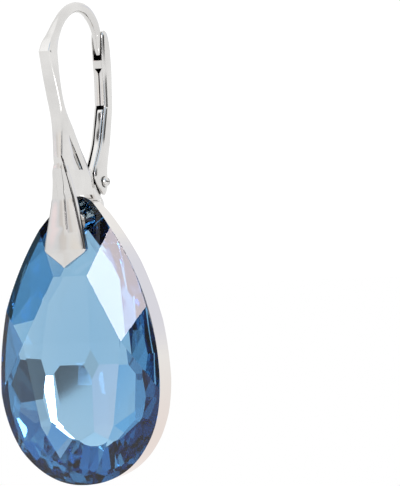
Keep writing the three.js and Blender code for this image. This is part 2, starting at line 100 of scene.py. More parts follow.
class Shader:
    """The node tree of one material or world, built by calls."""

    def __init__(self, tree: bpy.types.NodeTree) -> None:
        """Starts from an empty tree.

        Args:
            tree: the node tree to fill.
        """
        self.tree = tree
        tree.nodes.clear()

    def add(self, kind: str, settings: dict | None = None, inputs: dict | None = None,
            output: str | int = 0) -> Wire:
        """Adds a node.

        Args:
            kind: the node's type.
            settings: properties to set first.
            inputs: sockets by name or number, each a value or a Wire.
            output: the output to return.

        Returns:
            The chosen output, empty for a node that has none.
        """
        node = self.tree.nodes.new(kind)
        for name, value in (settings or {}).items():
            setattr(node, name, value)
        for key, value in (inputs or {}).items():
            if isinstance(value, Wire):
                self.tree.links.new(value.socket, node.inputs[key])
            else:
                node.inputs[key].default_value = value
        return Wire(self, node.outputs[output] if len(node.outputs) else None)

    def ramp(self, factor: Wire, stops: Sequence[tuple[float, tuple[float, ...]]]) -> Wire:
        """Adds a colour ramp.

        Args:
            factor: what the ramp reads.
            stops: positions and colours.

        Returns:
            The ramp's colour.
        """
        node = self.tree.nodes.new("ShaderNodeValToRGB")
        ramp = node.color_ramp
        while len(ramp.elements) < len(stops):
            ramp.elements.new(0.5)
        for element, (position, colour) in zip(ramp.elements, stops):
            element.position = position
            element.color = colour
        self.tree.links.new(factor.socket, node.inputs[0])
        return Wire(self, node.outputs[0])


@dataclass(frozen=True)
class PolishedSilver:
    """Rhodium-plated silver, polished, with faint hairlines and a slightly duller film.

    The depth of the hairlines is in millimetres.
    """

    name: str = "polished_silver"
    colour: Colour = (0.75, 0.74, 0.725, 1.0)
    roughness: float = 0.13
    film_scale: float = 420.0
    film_roughness: float = 0.05
    film_shade: float = 0.88
    hairline_scale: float = 2600.0
    hairline_stretch: float = 0.08
    hairline_roughness: float = 0.06
    hairline_strength: float = 0.04
    hairline_depth: float = 0.02

    def make(self) -> bpy.types.Material:
        """Builds the material.

        Returns:
            The finished material.
        """
        material = bpy.data.materials.new(self.name)
        material.use_nodes = True
        shader = Shader(material.node_tree)
        spot = shader.add("ShaderNodeTexCoord", output="Object")
        film = shader.add("ShaderNodeTexNoise", None, {
            "Vector": spot, "Scale": self.film_scale, "Detail": 4.0,
        })
        drawn = shader.add("ShaderNodeMapping", None, {
            "Vector": spot, "Scale": (1.0, 1.0, self.hairline_stretch),
        })
        streak = shader.add("ShaderNodeTexNoise", None, {"Vector": drawn, "Scale": self.hairline_scale})
        rough = (film - 0.5) * self.film_roughness + (streak - 0.5) * self.hairline_roughness + self.roughness
        filmed = tuple(part * self.film_shade for part in self.colour[:3]) + (1.0,)
        tint = shader.ramp(film, [(0.3, filmed), (0.7, self.colour)])
        bump = shader.add("ShaderNodeBump", None, {
            "Strength": self.hairline_strength, "Distance": self.hairline_depth * MM, "Height": streak,
        })
        surface = shader.add("ShaderNodeBsdfPrincipled", None, {
            "Base Color": tint, "Metallic": 1.0, "Roughness": rough, "Normal": bump,
        })
        shader.add("ShaderNodeOutputMaterial", None, {"Surface": surface})
        return material


@dataclass(frozen=True)
class MirrorCoat:
    """The silvered coat on the rim and the back of the crystal, which may take another tint low down.

    The fade between the tints is given by its lowest and highest height, in millimetres.
    """

    name: str = "mirror_coat"
    colour: Colour = (0.86, 0.83, 0.81, 1.0)
    low_colour: Colour = (0.86, 0.83, 0.81, 1.0)
    fade_heights: tuple[float, float] = (-34.5, -26.0)
    roughness: float = 0.02
    cloud_scale: float = 160.0
    cloud_roughness: float = 0.02

    def make(self) -> bpy.types.Material:
        """Builds the material.

        Returns:
            The finished material.
        """
        material = bpy.data.materials.new(self.name)
        material.use_nodes = True
        shader = Shader(material.node_tree)
        spot = shader.add("ShaderNodeTexCoord", output="Object")
        cloud = shader.add("ShaderNodeTexNoise", None, {
            "Vector": spot, "Scale": self.cloud_scale, "Detail": 2.0,
        })
        rough = (cloud - 0.5) * self.cloud_roughness + self.roughness
        height = shader.add("ShaderNodeSeparateXYZ", None, {0: spot}, "Z")
        share = shader.add("ShaderNodeMapRange", None, {
            "Value": height, "From Min": self.fade_heights[0] * MM, "From Max": self.fade_heights[1] * MM,
        })
        tint = shader.ramp(share, [(0.0, self.low_colour), (1.0, self.colour)])
        surface = shader.add("ShaderNodeBsdfPrincipled", None, {
            "Base Color": tint, "Metallic": 1.0, "Roughness": rough,
        })
        shader.add("ShaderNodeOutputMaterial", None, {"Surface": surface})
        return material


@dataclass(frozen=True)
class SapphireGlass:
    """Clear cut crystal, blue by what its depth absorbs."""

    name: str = "sapphire_crystal"
    surface_tint: Colour = (0.97, 0.985, 1.0, 1.0)
    ior: float = 1.56
    passed: Colour = (0.883, 0.948, 0.984, 1.0)
    density: float = 1000.0
    shine: float = 0.2

    def make(self) -> bpy.types.Material:
        """Builds the material.

        Returns:
            The finished material.
        """
        material = bpy.data.materials.new(self.name)
        material.use_nodes = True
        shader = Shader(material.node_tree)
        surface = shader.add("ShaderNodeBsdfPrincipled", None, {
            "Base Color": self.surface_tint, "Roughness": 0.0, "IOR": self.ior,
            "Transmission Weight": 1.0, "Specular IOR Level": self.shine,
        })
        depth = shader.add("ShaderNodeVolumeAbsorption", None, {
            "Color": self.passed, "Density": self.density,
        })
        shader.add("ShaderNodeOutputMaterial", None, {"Surface": surface, "Volume": depth})
        return material


@dataclass(frozen=True)
class PaleCard:
    """The plain pale stage."""

    name: str = "pale_card"
    colour: Colour = (1.0, 1.0, 1.0, 1.0)

    def make(self) -> bpy.types.Material:
        """Builds the material.

        Returns:
            The finished material.
        """
        material = bpy.data.materials.new(self.name)
        material.use_nodes = True
        shader = Shader(material.node_tree)
        glow = shader.add("ShaderNodeEmission", None, {"Color": self.colour, "Strength": 1.0})
        shader.add("ShaderNodeOutputMaterial", None, {"Surface": glow})
        return material


def point(y: float, z: float) -> Vector:
    """A point of the plane X = 0."""
    return Vector((0.0, y, z))


def smooth_rows(rows: Sequence[Sequence[float]], steps: int) -> list[list[float]]:
    """Fills in rows on a smooth curve through the given ones.

    Args:
        rows: the rows of numbers, in order.
        steps: the steps between two given rows.

    Returns:
        The denser rows.
    """
    dense = []
    last = len(rows) - 1
    for i in range(last):
        before, start = rows[max(i - 1, 0)], rows[i]
        end, after = rows[i + 1], rows[min(i + 2, last)]
        for step in range(steps + (i == last - 1)):
            t = step / steps
            dense.append([
                0.5 * (2 * b + (c - a) * t + (2 * a - 5 * b + 4 * c - d) * t**2
                       + (3 * b - a - 3 * c + d) * t**3)
                for a, b, c, d in zip(before, start, end, after)
            ])
    return dense


@dataclass(frozen=True)
class BarSection:
    """The cross-section of a bar: from a chamfered rectangle to an ellipse, with soft corners."""

    chamfer: float = 0.3
    softness: float = 0.22
    arc_steps: int = 3

    def outline(self, roundness: float) -> list[tuple[float, float]]:
        """The section in a square from -1 to 1.

        Args:
            roundness: 0 for the chamfered rectangle, 1 for the ellipse.

        Returns:
            Points across and along, in order.
        """
        corners = []
        for sx, sy in ((1, 1), (-1, 1), (-1, -1), (1, -1)):
            pair = [(sx, sy * (1 - self.chamfer)), (sx * (1 - self.chamfer), sy)]
            corners += pair if sx * sy > 0 else pair[::-1]
        points = []
        count = len(corners)
        for i, corner in enumerate(corners):
            here = Vector(corner)
            before, after = Vector(corners[i - 1]), Vector(corners[(i + 1) % count])
            reach = self.softness * self.chamfer
            start = here + (before - here).normalized() * reach
            end = here + (after - here).normalized() * reach
            for step in range(self.arc_steps):
                t = step / (self.arc_steps - 1)
                flat = start * (1 - t) ** 2 + here * 2 * t * (1 - t) + end * t**2
                turn = 2 * math.pi * (i + t) / count
                around = Vector((math.cos(turn), math.sin(turn)))
                points.append(tuple(flat.lerp(around, roundness)))
        return points

    def ring(self, front: Vector, back: Vector, width: float, roundness: float) -> Ring:
        """One ring between a front and a back point.

        Args:
            front: the front point, in millimetres.
            back: the back point.
            width: the width along X.
            roundness: as in outline.

        Returns:
            The ring's points.
        """
        half = (back - front) / 2
        centre = front + half
        return [centre + half * along + Vector((across * width / 2, 0.0, 0.0))
                for across, along in self.outline(roundness)]

    def line(self, rows: Sequence[Sequence[float]]) -> list[Ring]:
        """Rings square to a centre line.

        Args:
            rows: y, z, depth, width and roundness of each ring.

        Returns:
            The rings.
        """
        rings = []
        for i, (y, z, depth, width, roundness) in enumerate(rows):
            before, after = rows[max(i - 1, 0)], rows[min(i + 1, len(rows) - 1)]
            along = point(after[0] - before[0], after[1] - before[1]).normalized()
            side = point(-along.z, along.y) * (depth / 2)
            centre = point(y, z)
            rings.append(self.ring(centre - side, centre + side, width, roundness))
        return rings


def loft(rings: Sequence[Ring], name: str) -> bpy.types.Object:
    """A closed mesh through rings of points given in millimetres.

    Args:
        rings: the rings, all with as many points.
        name: the object's name.

    Returns:
        The new object.
    """
    mesh = bmesh.new()
    rows = [[mesh.verts.new(p * MM) for p in ring] for ring in rings]
    sides = len(rows[0])
    for low, high in zip(rows, rows[1:]):
        for s in range(sides):
            mesh.faces.new((low[s], low[(s + 1) % sides], high[(s + 1) % sides], high[s]))
    mesh.faces.new(rows[0])
    mesh.faces.new(rows[-1])
    bmesh.ops.recalc_face_normals(mesh, faces=mesh.faces)
    return to_object(mesh, name)


def to_object(mesh: bmesh.types.BMesh, name: str) -> bpy.types.Object:
    """Turns a bmesh into a linked object.

    Args:
        mesh: the bmesh, which is freed.
        name: the object's name.

    Returns:
        The new object.
    """
    data = bpy.data.meshes.new(name)
    mesh.to_mesh(data)
    mesh.free()
    made = bpy.data.objects.new(name, data)
    bpy.context.scene.collection.objects.link(made)
    return made


def plate(outline: Sequence[tuple[float, float]], width: float, name: str,
          x: float = 0.0) -> bpy.types.Object:
    """A flat plate in the plane of the hook.

    Args:
        outline: its corners in y and z, in millimetres.
        width: its thickness along X.
        name: the object's name.
        x: the middle of its thickness.

    Returns:
        The new object.
    """
    sides = [[Vector((x + s * width / 2, y, z)) for y, z in outline] for s in (-1, 1)]
    return loft(sides, name)


def rod(radius: float, ends: tuple[Vector, Vector], name: str, sides: int = 48) -> bpy.types.Object:
    """A round rod between two points.

    Args:
        radius: its radius in millimetres.
        ends: its end points.
        name: the object's name.
        sides: the number of sides.

    Returns:
        The new object.
    """
    axis = (ends[1] - ends[0]).normalized()
    across = axis.orthogonal()
    spin = [Matrix.Rotation(2 * math.pi * i / sides, 3, axis) @ across * radius for i in range(sides)]
    return loft([[end + arm for arm in spin] for end in ends], name)


def hinge_bore(y: float, z: float) -> bpy.types.Object:
    """The tool for the bore of the hinge, at a place in the plane of the hook."""
    return rod(HINGE_BORE, (Vector((-1, y, z)), Vector((1, y, z))), "bore")


def combine(target: bpy.types.Object, tool: bpy.types.Object, change: Change,
            finish: bpy.types.Material | None = None) -> None:
    """Joins one mesh to another or cuts it out of it.

    Args:
        target: the mesh that is changed.
        tool: the mesh that changes it, which is deleted.
        change: what is done.
        finish: the finish of the new faces, where it is not the target's first.
    """
    tool.data.materials.append(finish or target.data.materials[0])
    step = target.modifiers.new("change", "BOOLEAN")
    step.operation = change.value
    step.object = tool
    step.solver = "EXACT"
    step.material_mode = "TRANSFER"
    apply_modifiers(target)
    bpy.data.objects.remove(tool)


def apply_modifiers(target: bpy.types.Object) -> None:
    """Makes the modifiers' result the object's own mesh.

    Args:
        target: the object.
    """
    depsgraph = bpy.context.evaluated_depsgraph_get()
    mesh = bpy.data.meshes.new_from_object(target.evaluated_get(depsgraph))
    target.modifiers.clear()
    target.data = mesh


def finish_metal(target: bpy.types.Object, edge: float = 0.035) -> None:
    """Softens the edges of a metal piece.

    Args:
        target: the piece.
        edge: the width of the softened edges, in millimetres.
    """
    bevel = target.modifiers.new("edges", "BEVEL")
    bevel.width = edge * MM
    bevel.segments = 2
    bevel.limit_method = "ANGLE"
    bevel.angle_limit = BEVEL_ANGLE
    bevel.use_clamp_overlap = True
    apply_modifiers(target)
    target.data.shade_smooth()
    target.data.set_sharp_from_angle(angle=SHARP_ANGLE)
    normals = target.modifiers.new("normals", "WEIGHTED_NORMAL")
    normals.keep_sharp = True


def place(piece: bpy.types.Object, node: str, body: Body) -> None:
    """Puts a piece in the frame in a node's stead.

    Args:
        piece: the piece.
        node: the node that it stands for.
        body: the body that it rides on.
    """
    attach(piece, body.value)
    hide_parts(node)
    log.info("%s: %d faces", piece.name, len(piece.data.polygons))


@dataclass
class Crystal:
    """The pear-shaped stone, in millimetres.

    A crown facet is given by a point of it, as x, the drop below the tip and the rise in front of the
    girdle, and by its slopes across and down. A tier of back facets is given by its slope, by how far its
    facets meet the rim's back edge outside the outline, as a share of the width, and by the ways that
    they face, in degrees above the horizontal.
    """

    length: float = 22.0
    width: float = 13.1
    shoulder: float = 14.35
    side_radius: float = 19.3
    tip_radius: float = 2.0
    bottom_power: float = 2.15
    bevel_depth: float = 2.3
    bevel_inset: float = 0.33
    back_rise: float = 1.55
    crown_rise: float = 1.15
    crown_margin: float = 1.1
    edge: float = 0.03
    edge_angle: float = 7.0
    hole_drop: float = 2.8
    hole_radius: float = 0.6
    girdle_y: float = -1.83
    tip_z: float = -13.25
    crown: list[tuple[float, float, float, float, float]] = field(default_factory=lambda: [
        (0.0, 6.6, 1.0, 0.0, 0.292),
        (0.0, 11.5, 1.15, 0.0, 0.0306),
        (0.0, 11.5, 1.15, 0.0, -0.0607),
        (0.0, 17.6, 0.78, 0.0, -0.155),
        (4.04, 11.5, 1.15, -0.263, 0.174),
        (4.04, 11.5, 1.15, -0.463, 0.033),
        (4.04, 11.5, 1.15, -0.263, -0.106),
        (3.0, 17.6, 0.78, -0.284, -0.138),
        (3.0, 17.6, 0.78, -0.186, -0.255),
    ])
    back_tiers: list[tuple[float, float, tuple[float, ...]]] = field(default_factory=lambda: [
        (0.6, 0.0, (48, 34, 20, 6, -8, -22, -36, -50, -64, -78)),
        (0.52, 0.006, (-33, -47, -61, -75, -88)),
        (0.45, 0.014, (41, 27, 13, -1, -15, -29, -36, -43, -50, -57, -64, -71, -78, -85)),
        (0.38, 0.029, (-46, -53, -60, -67, -74, -82, -90)),
        (0.2, 0.24, (45, 15, -15, -40, -90)),
        (0.09, 0.8, (30, -30)),
    ])

    def outline(self, inset: float) -> list[tuple[float, float]]:
        """The pear outline.

        Args:
            inset: how far it is drawn in.

        Returns:
            Points of x and the drop below the tip.
        """
        half = self.width / 2 - inset
        side = self.side_radius - inset
        centre_x = self.width / 2 - self.side_radius
        tip = self.tip_radius - inset
        rise = math.sqrt((side - tip) ** 2 - centre_x**2)
        tangent = math.atan2(rise, -centre_x)
        tip_steps, side_steps, bottom_steps = 14, 40, 40
        right = []
        for i in range(tip_steps):
            angle = math.pi / 2 - (math.pi / 2 - tangent) * i / tip_steps
            right.append((tip * math.cos(angle), self.shoulder - rise - tip * math.sin(angle)))
        for i in range(side_steps):
            angle = tangent * (1 - i / side_steps)
            right.append((centre_x + side * math.cos(angle), self.shoulder - side * math.sin(angle)))
        power = 2 / self.bottom_power
        fall = self.length - self.shoulder - inset
        for i in range(bottom_steps):
            angle = math.pi / 2 * i / bottom_steps
            right.append((half * math.cos(angle) ** power, self.shoulder + fall * math.sin(angle) ** power))
        bottom = (0.0, self.shoulder + fall)
        return right + [bottom] + [(-x, drop) for x, drop in reversed(right[1:])]

    def ring(self, inset: float, y: float) -> Ring:
        """The outline as a ring at one depth."""
        return [Vector((x, y, self.tip_z - drop)) for x, drop in self.outline(inset)]

    def planes(self) -> list[tuple[Vector, Vector]]:
        """The facets.

        Returns:
            A point and an outward normal for each, in millimetres.
        """
        found = []
        for x, drop, rise, slope_x, slope_drop in self.crown:
            for side in ((1, -1) if slope_x else (1,)):
                found.append((Vector((side * x, self.girdle_y - rise, self.tip_z - drop)),
                              Vector((-side * slope_x, -1.0, slope_drop)).normalized()))
        rim_y = self.girdle_y + self.bevel_depth
        outline = self.outline(self.bevel_inset)
        tiers = [(slope, outside, turn) for slope, outside, turns in self.back_tiers for turn in turns]
        for slope, outside, turn in tiers:
            angle = math.radians(turn)
            for side in ((1, -1) if turn != -90 else (1,)):
                nx, nz = side * math.cos(angle), math.sin(angle)
                reach = max(nx * x - nz * drop for x, drop in outline) + outside * self.width
                found.append((Vector((nx * reach, rim_y, self.tip_z + nz * reach)),
                              Vector((slope * nx, 1.0, slope * nz)).normalized()))
        return found

    def facets(self) -> bpy.types.Object:
        """Cuts the facets out of a plain block of the stone's outline.

        Returns:
            The faceted stone.
        """
        front_y = self.girdle_y - self.crown_rise * self.crown_margin
        rim_y = self.girdle_y + self.bevel_depth
        cut_gap, weld_gap, flat_angle = 1e-9, 1e-6, math.radians(0.2)
        mesh = bmesh.new()
        for inset, y in ((0, front_y), (0, self.girdle_y), (self.bevel_inset, rim_y),
                         (self.bevel_inset, rim_y + self.back_rise)):
            for p in self.ring(inset, y):
                mesh.verts.new(p * MM)
        bmesh.ops.convex_hull(mesh, input=mesh.verts)
        for origin, normal in self.planes():
            bmesh.ops.bisect_plane(mesh, geom=mesh.verts[:] + mesh.edges[:] + mesh.faces[:],
                                   plane_co=origin * MM, plane_no=normal, clear_outer=True,
                                   dist=cut_gap)
            bmesh.ops.holes_fill(mesh, edges=[e for e in mesh.edges if e.is_boundary])
        bmesh.ops.remove_doubles(mesh, verts=mesh.verts, dist=weld_gap)
        bmesh.ops.recalc_face_normals(mesh, faces=mesh.faces)
        bmesh.ops.dissolve_limit(mesh, angle_limit=flat_angle, verts=mesh.verts, edges=mesh.edges,
                                 delimit={"MATERIAL"})
        return to_object(mesh, "pear_crystal")

    def coat_faces(self, stone: bpy.types.Object) -> None:
        """Gives the crown the first finish, the back the second and the rim the third.

        Args:
            stone: the stone, with its three finishes.
        """
        near, forward = 0.02, -0.5
        rim_y = self.girdle_y + self.bevel_depth
        for face in stone.data.polygons:
            depth = face.center.y / MM
            behind = depth > self.girdle_y + near and face.normal.y > forward
            back_finish = 2 if depth < rim_y + near else 1
            face.material_index = back_finish if behind else 0

    def build(self, glass: bpy.types.Material, coat: bpy.types.Material,
              rim: bpy.types.Material) -> bpy.types.Object:
        """Makes the stone.

        Args:
            glass: the finish of the crown.
            coat: the finish of the back.
            rim: the finish of the rim.

        Returns:
            The stone.
        """
        stone = self.facets()
        for finish in (glass, coat, rim):
            stone.data.materials.append(finish)
        reach, sides = 6, 32
        ends = tuple(Vector((0, y, self.tip_z - self.hole_drop)) for y in (-reach, reach))
        combine(stone, rod(self.hole_radius, ends, "hole", sides), Change.CUT)
        bevel = stone.modifiers.new("edges", "BEVEL")
        bevel.width = self.edge * MM
        bevel.segments = 1
        bevel.limit_method = "ANGLE"
        bevel.angle_limit = math.radians(self.edge_angle)
        apply_modifiers(stone)
        self.coat_faces(stone)
        place(stone, "crystal", Body.DROP)
        return stone


@dataclass
class EarHook:
    """The wire, the faceted bar, the body, the prong, the strip and the tongue, in millimetres.

    The tables hold shares: a place's y of the wire's reach in front or behind, its z of the height from the
    arch down to the body's foot, and a width of the bar's or the prong's. Heights on the prong are shares
    of its length, counted down from the body's foot.
    """

    front: float = 5.55
    back: float = 3.3
    foot_z: float = -13.0
    roof_z: float = -13.887
    root_drop: float = 1.05
    root_back: float = -1.4
    wire: float = 0.8
    width: float = 1.08
    prong_length: float = 6.2
    prong_width: float = 3.4
    prong_thickness: float = 0.6
    prong_edge: float = 0.12
    prong_ridge: float = 0.185
    prong_lean: float = 0.46
    prong_face_y: float = -3.51
    strip_y: float = 2.2875
    strip_thickness: float = 0.4
    strip_roundness: float = 0.15
    hinge_y: float = 2.2704
    hinge_z: float = -12.95
    pin_z: float = -16.05

    def at(self, y: float, z: float) -> tuple[float, float]:
        """A place in the hook's plane, from shares of its reach in front and of its height."""
        return y * self.front, z * self.foot_z

    def wire_rings(self, section: BarSection) -> list[Ring]:
        """The ear wire, from its tip over the arch to the bar.

        Args:
            section: the section of its rings.

        Returns:
            The rings.
        """
        table = [
            (1.0, 0.265, 0.58), (0.955, 0.222, 0.7), (0.94, 0.18, 0.78), (0.9, 0.138, 0.85),
            (0.765, 0.082, 0.95), (0.54, 0.034, 1.0), (0.3, 0.009, 1.0), (0.0, 0.0, 1.0),
            (-0.165, 0.008, 1.0), (-0.325, 0.031, 1.0), (-0.462, 0.064, 0.98),
        ]
        rows = [(y * (self.back if y > 0 else self.front), z * self.foot_z, size * self.wire,
                 size * self.wire, 1.0) for y, z, size in smooth_rows(table, 6)]
        return section.line(rows)

    def bar_rings(self, section: BarSection) -> list[Ring]:
        """The front bar and the body: above the elbow, and from the elbow to the roof.

        A row gives y and z of the front point and of the back point, the width and the roundness.

        Args:
            section: the section of the rings.

        Returns:
            The rings.
        """
        upper = [
            (-0.635, 0.085, -0.55, 0.13, 0.76, 0.8), (-0.78, 0.148, -0.675, 0.19, 0.84, 0.4),
            (-0.915, 0.2, -0.735, 0.235, 0.95, 0.1), (-1.0, 0.255, -0.753, 0.266, 1.0, 0.0),
        ]
        lower = [
            (-1.0, 0.255, -0.753, 0.266, 1.0, 0.0), (-0.905, 0.385, -0.733, 0.385, 1.0, 0.0),
            (-0.809, 0.508, -0.668, 0.508, 0.98, 0.0), (-0.737, 0.6, -0.566, 0.6, 0.98, 0.0),
            (-0.716, 0.7, -0.36, 0.7, 1.0, 0.0), (-0.716, 0.815, -0.162, 0.815, 1.02, 0.0),
            (-0.715, 0.865, -0.06, 0.865, 1.02, 0.0), (-0.69, 0.935, 0.07, 0.935, 0.98, 0.0),
            (-0.672, 1.0, 0.175, 0.985, 0.92, 0.0),
        ]
        rows = smooth_rows(upper, 5) + smooth_rows(lower, 5)[1:]
        rings = [section.ring(point(*self.at(f, fz)), point(*self.at(b, bz)), w * self.width, r)
                 for f, fz, b, bz, w, r in rows]
        sill_front, sill_back, sill_width = -0.665, 0.225, 0.85
        sill = section.ring(point(sill_front * self.front, self.roof_z),
                            point(sill_back * self.front, self.roof_z), sill_width * self.width, 0.0)
        return rings + [sill]

    def root_rings(self, section: BarSection) -> list[Ring]:
        """The thick root of the prong, in front of the crystal's tip.

        Args:
            section: the section of its rings.

        Returns:
            The rings.
        """
        sunk, width, chamfer = 0.15, 0.92, 0.25
        rows = [(self.foot_z + self.root_drop * 0.5, self.root_back), (self.roof_z, self.root_back),
                (self.foot_z - self.root_drop * 0.92, self.root_back),
                (self.foot_z - self.root_drop, self.root_back - chamfer)]
        return [section.ring(point(self.prong_face_y + sunk, z), point(back, z), self.width * width, 0.0)
                for z, back in rows]

    def prong_half(self, width: float) -> tuple[float, float]:
        """Half the prong's width at a row, and half its flat part inside the soft edges."""
        half = width * self.prong_width / 2
        return half, max(half - self.prong_edge, half * 0.6)

    def prong_rows(self) -> list[list[float]]:
        """The prong above its tip.

        Returns:
            The height, width, lean forward, ridge and thickness of each row, as shares.
        """
        return smooth_rows([
            (-0.34, 0.16, 0.8, 0.05, 1.0), (-0.16, 0.345, 0.88, 0.2, 1.0), (-0.04, 0.41, 0.5, 0.3, 1.1),
            (0.08, 0.48, 0.2, 0.45, 1.1), (0.195, 0.565, 0.0, 0.6, 1.05), (0.435, 0.745, 0.0, 0.8, 1.0),
            (0.67, 0.93, 0.0, 1.0, 1.0), (0.76, 0.99, 0.0, 1.0, 1.0), (0.79, 1.0, 0.0, 1.0, 0.98),
        ], 5)

    def prong_rings(self) -> list[Ring]:
        """The spade-shaped prong, a ridged plate with a short point.

        Returns:
            The rings.
        """
        tip = [(0.82, 0.93, 0.028, 0.93, 0.92), (0.975, 0.16, 0.34, 0.16, 0.9), (1.0, 0.03, 0.39, 0.03, 0.8)]
        soft = self.prong_edge
        rings = []
        for z, width, forward, ridge, back in self.prong_rows() + tip:
            half, inner = self.prong_half(width)
            face = self.prong_face_y - forward * self.prong_lean
            rear = face + back * self.prong_thickness
            crest = face - ridge * self.prong_ridge
            outline = [(half, face + soft), (inner, face), (0.0, crest), (-inner, face),
                       (-half, face + soft), (-half, rear - soft), (-inner, rear), (inner, rear),
                       (half, rear - soft)]
            rings.append([Vector((x, y, self.foot_z - z * self.prong_length)) for x, y in outline])
        return rings

    def strip_rings(self, section: BarSection) -> list[Ring]:
        """The strip past the hinge and down behind the crystal.

        Args:
            section: the section of its rings.

        Returns:
            The rings.
        """
        slant = [(-1.95, 0.9, 0.8), (-1.57, 0.42, 0.77), (-1.16, -0.15, 0.5), (-0.71, -0.6, 0.5),
                 (-0.24, -1.05, 0.5)]
        line = [(self.hinge_y + y, self.hinge_z + z, width) for y, z, width in slant]
        line += [(self.strip_y - 0.06, self.hinge_z - 1.42, 0.72), (self.strip_y, self.hinge_z - 1.75, 0.8),
                 (self.strip_y, self.pin_z, 1.08), (self.strip_y, self.pin_z - 0.665, 0.96),
                 (self.strip_y, self.pin_z - 0.95, 0.48)]
        rows = [(y, z, self.strip_thickness, width, self.strip_roundness) for y, z, width in line]
        return section.line(smooth_rows(rows, 3))

    def tongue_rings(self, section: BarSection) -> list[Ring]:
        """The spring tongue, from the body up to its tip in the lever.

        Args:
            section: the section of its rings.

        Returns:
            The rings.
        """
        table = [(0.0, 0.0, 1.0), (0.17, 0.06, 1.0), (0.33, 0.15, 1.0), (0.485, 0.276, 1.0),
                 (0.7, 0.48, 1.0), (0.815, 0.67, 1.0), (0.93, 0.85, 1.0), (0.985, 0.96, 1.0),
                 (1.0, 1.0, 0.6)]
        start_y, start_z = self.hinge_y - 1.57, self.hinge_z + 0.36
        rise, lean, thick, width = 5.0, 2.53, 0.34, 0.5
        rows = [(start_y + y * lean, start_z + z * rise, thick * t, width, self.strip_roundness)
                for y, z, t in table]
        return section.line(smooth_rows(rows, 4))

    def lug_outline(self) -> list[tuple[float, float]]:
        """The round lug that carries the rivet, with its foot on the body.

        Returns:
            The corners in y and z.
        """
        radius, start, end, steps = 0.52, -0.9, math.pi * 0.92, 28
        corners = [(self.hinge_y - 1.05, self.hinge_z - 0.27), (self.hinge_y - 0.2, self.hinge_z - 1.08)]
        for i in range(steps + 1):
            angle = start + (end - start) * i / steps
            corners.append((self.hinge_y + radius * math.cos(angle), self.hinge_z + radius * math.sin(angle)))
        return corners

    def flute(self) -> bpy.types.Object:
        """The tool that cuts the thin flute beside the prong's ridge, deepest at its middle.

        Returns:
            The tool.
        """
        first, last, deepest, above = -0.24, 0.62, 0.07, 0.3
        fine, wide = 0.015, 0.06
        offset, drift = 0.24, 0.5
        rings = []
        for z, width, forward, ridge, _ in self.prong_rows():
            if not first < z < last:
                continue
            face = self.prong_face_y - forward * self.prong_lean
            _, inner = self.prong_half(width)
            middle = offset + drift * max(0.0, z) ** 2
            share = (last - z) / (last - first)
            front = face - ridge * self.prong_ridge * (1 - middle / inner)
            bottom = front + deepest * (4 * share * (1 - share)) ** 0.5
            half = fine + wide * (1 - share) * min(1.0, 4 * share)
            height = self.foot_z - z * self.prong_length
            rings.append([Vector((middle + x, y, height)) for x, y in (
                (-half, front - above), (half, front - above), (half / 3, bottom), (-half / 3, bottom))])
        return loft(rings, "flute")

    def pocket_line(self, side: int) -> bpy.types.Object:
        """The tool that cuts the fine line along a pocket's back edge.

        Args:
            side: 1 for the side at +X, -1 for the other.

        Returns:
            The tool.
        """
        thickness, off_middle = 0.2, 0.52
        corners = [(-0.556, 0.729), (-0.546, 0.733), (-0.195, 0.922), (-0.2, 0.93)]
        return plate([self.at(*corner) for corner in corners], thickness, "pocket_line",
                     side * self.width * off_middle)

    def prong_line(self, side: int) -> bpy.types.Object:
        """The tool that cuts the fine line just inside one edge of the prong.

        Args:
            side: 1 for the edge at +X, -1 for the other, where the line starts lower.

        Returns:
            The tool.
        """
        edge = [(-0.33, 0.2, 0.8), (-0.16, 0.345, 0.88), (-0.04, 0.41, 0.5), (0.08, 0.48, 0.2),
                (0.195, 0.565, 0.0), (0.435, 0.745, 0.0), (0.67, 0.93, 0.0), (0.78, 0.995, 0.0)]
        half, above, deep, sunk = 0.05, 0.2, 0.05, 0.02
        rings = []
        for z, width, forward in smooth_rows(edge if side > 0 else edge[4:], 4):
            x = width * self.prong_width / 2 - half
            y = self.prong_face_y - forward * self.prong_lean + sunk
            height = self.foot_z - z * self.prong_length
            rings.append([Vector((side * (x + a), y + b, height))
                          for a, b in ((-half, -above), (half, -above), (half, deep), (-half, deep))])
        return loft(rings, "prong_line")

    def rear_leg_rings(self, section: BarSection) -> list[Ring]:
        """The foot of the body behind the crystal's tip, down to the strip.

        Args:
            section: the section of its rings.

        Returns:
            The rings.
        """
        width, drop = 0.85, self.roof_z - self.pin_z
        table = [(0.1, -0.22, 0.35), (0.2, 0.0, 0.43), (0.295, 0.18, 0.53), (0.4, 0.32, 0.66)]
        return [section.ring(point(f * self.back, self.roof_z - z * drop),
                             point(b * self.back, self.roof_z - z * drop), self.width * width, 0.0)
                for f, z, b in table]

